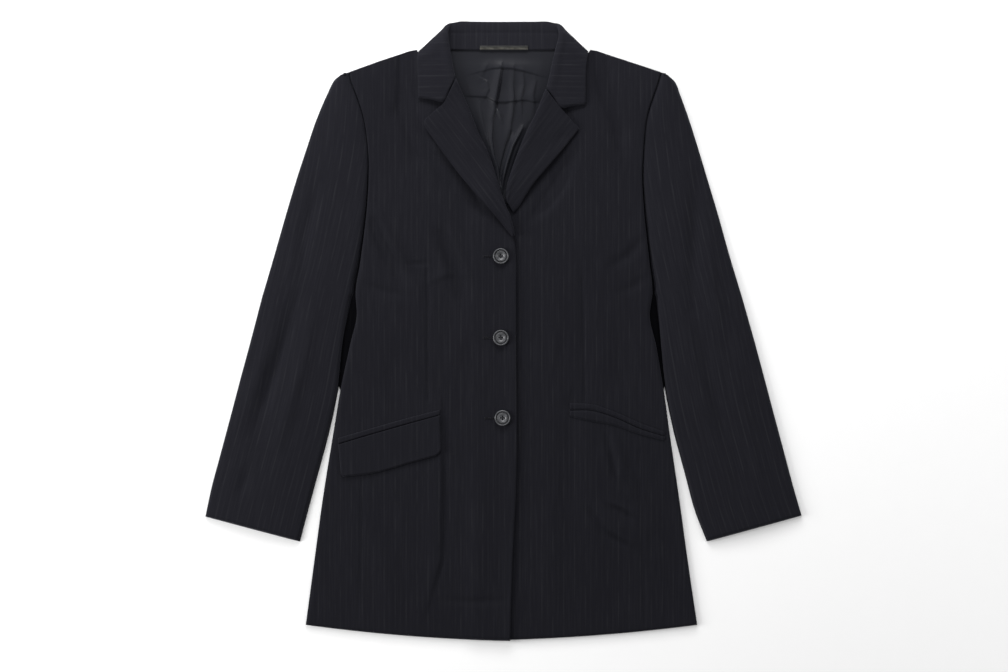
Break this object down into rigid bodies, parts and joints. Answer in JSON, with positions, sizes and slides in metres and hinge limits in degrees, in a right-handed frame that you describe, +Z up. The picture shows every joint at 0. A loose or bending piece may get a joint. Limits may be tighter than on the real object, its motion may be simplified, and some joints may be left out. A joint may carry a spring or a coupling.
{
  "type": "striped blazer",
  "caption": "Long single-breasted notch-lapel blazer in dark pinstripe cloth, buttoned and laid flat on its back.",
  "frame": {"origin": "middle of the bounding box, on the surface that the blazer lies on", "axes": "+Z up out of the blazer's front, +Y from the hem to the collar, +X to the wearer's left"},
  "size_m": [0.7746, 0.804, 0.0169],
  "materials": {
    "suiting": "matte",
    "lining": "satin",
    "label": "matte",
    "button": "satin"
  },
  "bodies": {
    "root": {"back": "suiting", "front_right": "suiting", "front_left": "suiting", "lapel_right": "suiting", "lapel_left": "suiting", "collar": "suiting", "topsleeve_right": "suiting", "topsleeve_left": "suiting", "undersleeve_right": "suiting", "undersleeve_left": "suiting", "flap_right": "suiting", "jet_right_upper": "suiting", "jet_left_upper": "suiting", "jet_left_lower": "suiting", "lining_back": "lining", "label": "label", "button_1": "button", "button_2": "button", "button_3": "button"}
  },
  "joints": []
}
